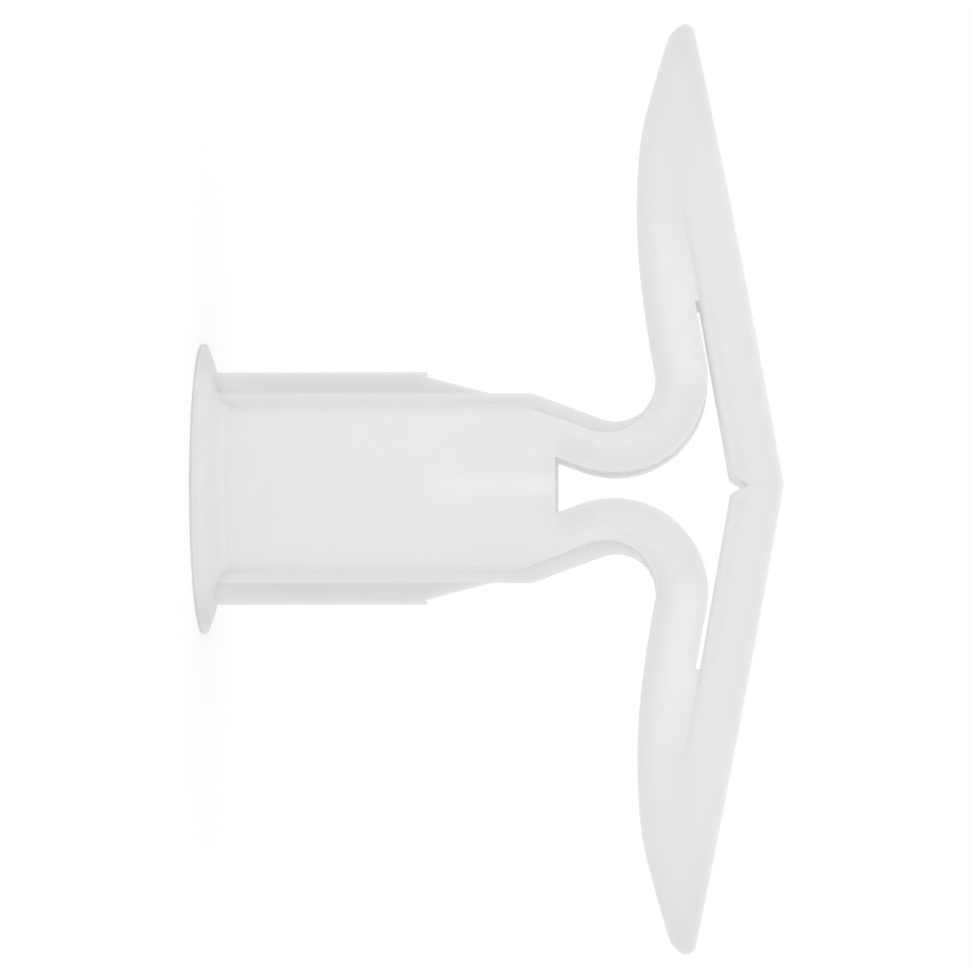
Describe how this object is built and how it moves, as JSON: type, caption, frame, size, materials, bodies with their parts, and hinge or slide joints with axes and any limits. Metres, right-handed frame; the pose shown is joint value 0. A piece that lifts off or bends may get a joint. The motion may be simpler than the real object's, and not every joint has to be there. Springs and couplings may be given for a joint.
{
  "type": "hollow wall anchor",
  "caption": "Moulded plastic toggle anchor for hollow walls: a thin collar, a finned sleeve with a screw bore, and legs that turn out into spread wings tied by arms at the apex.",
  "frame": {"origin": "centre of the collar's outer face, on the screw axis", "axes": "+Z along the screw axis from the collar towards the apex; the wings spread along X; Y is the depth, along which the toggle's openings run through"},
  "size_m": [0.032, 0.01, 0.02],
  "materials": {
    "anchor_plastic": "natural uncoloured polypropylene, slightly translucent, satin as moulded"
  },
  "bodies": {
    "root": {"wall_anchor": "anchor_plastic"}
  },
  "joints": []
}
